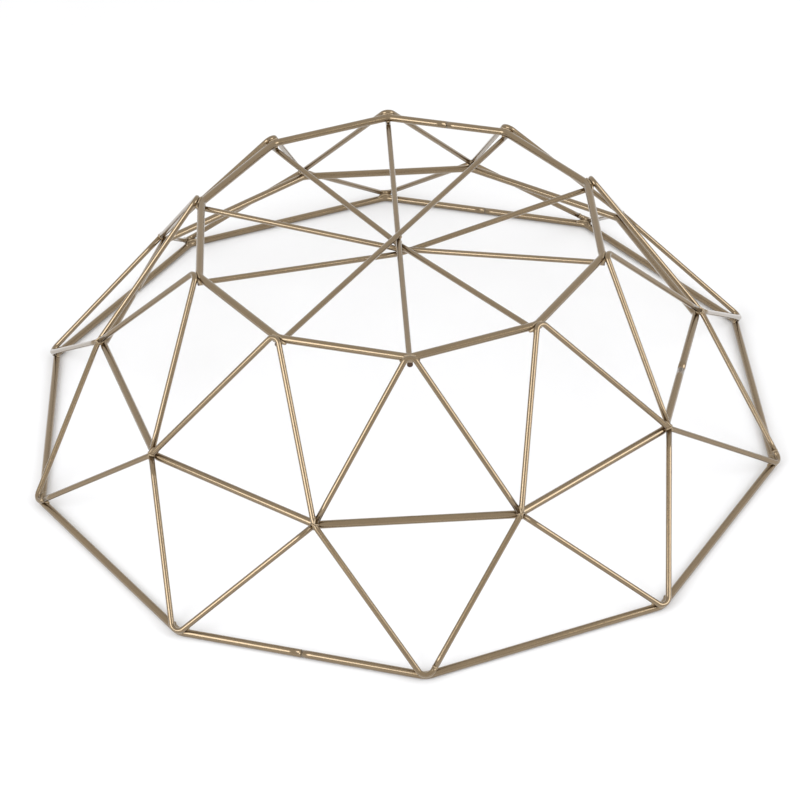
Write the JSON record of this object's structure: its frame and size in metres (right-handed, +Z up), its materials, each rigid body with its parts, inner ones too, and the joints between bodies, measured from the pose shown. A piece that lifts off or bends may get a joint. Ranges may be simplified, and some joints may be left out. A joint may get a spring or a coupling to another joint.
{
  "type": "dome climber",
  "caption": "Low ten-sided climbing frame: three bent tube hoops joined by zigzag legs in triangles, with crossed bars over the top.",
  "frame": {"origin": "on the ground under the middle of the dome", "axes": "+Z up; -Y towards corner 0 of the base hoop, so Y runs from corner to opposite corner; X runs across the flats' corners"},
  "size_m": [2.9548, 3.101, 0.9326],
  "materials": {
    "tube_paint": "satin metallic bronze paint on steel tube",
    "weld_paint": "the same paint over weld metal, glossier on the ripples",
    "cap_paint": "the same paint over the caps in the tube ends, darker"
  },
  "bodies": {
    "root": {"base_hoop_left": "tube_paint", "base_hoop_right": "tube_paint", "middle_hoop_front": "tube_paint", "middle_hoop_back": "tube_paint", "top_hoop": "tube_paint", "arch_1": "tube_paint", "arch_2": "tube_paint", "arch_3": "tube_paint", "arch_4": "tube_paint", "arch_5": "tube_paint", "upper_strut_1": "tube_paint", "upper_strut_2": "tube_paint", "upper_strut_3": "tube_paint", "upper_strut_4": "tube_paint", "upper_strut_5": "tube_paint", "lower_strut_1": "tube_paint", "lower_strut_2": "tube_paint", "lower_strut_3": "tube_paint", "lower_strut_4": "tube_paint", "lower_strut_5": "tube_paint", "cross_bar_1": "tube_paint", "cross_bar_2": "tube_paint", "cross_bar_3": "tube_paint", "cross_bar_4": "tube_paint", "cross_bar_5": "tube_paint", "cross_bar_caps": "cap_paint", "base_welds": "weld_paint", "middle_welds": "weld_paint", "top_welds": "weld_paint", "cross_bar_welds": "weld_paint", "hub_welds": "weld_paint", "hoop_butt_welds": "weld_paint", "arch_butt_welds": "weld_paint"}
  },
  "joints": []
}
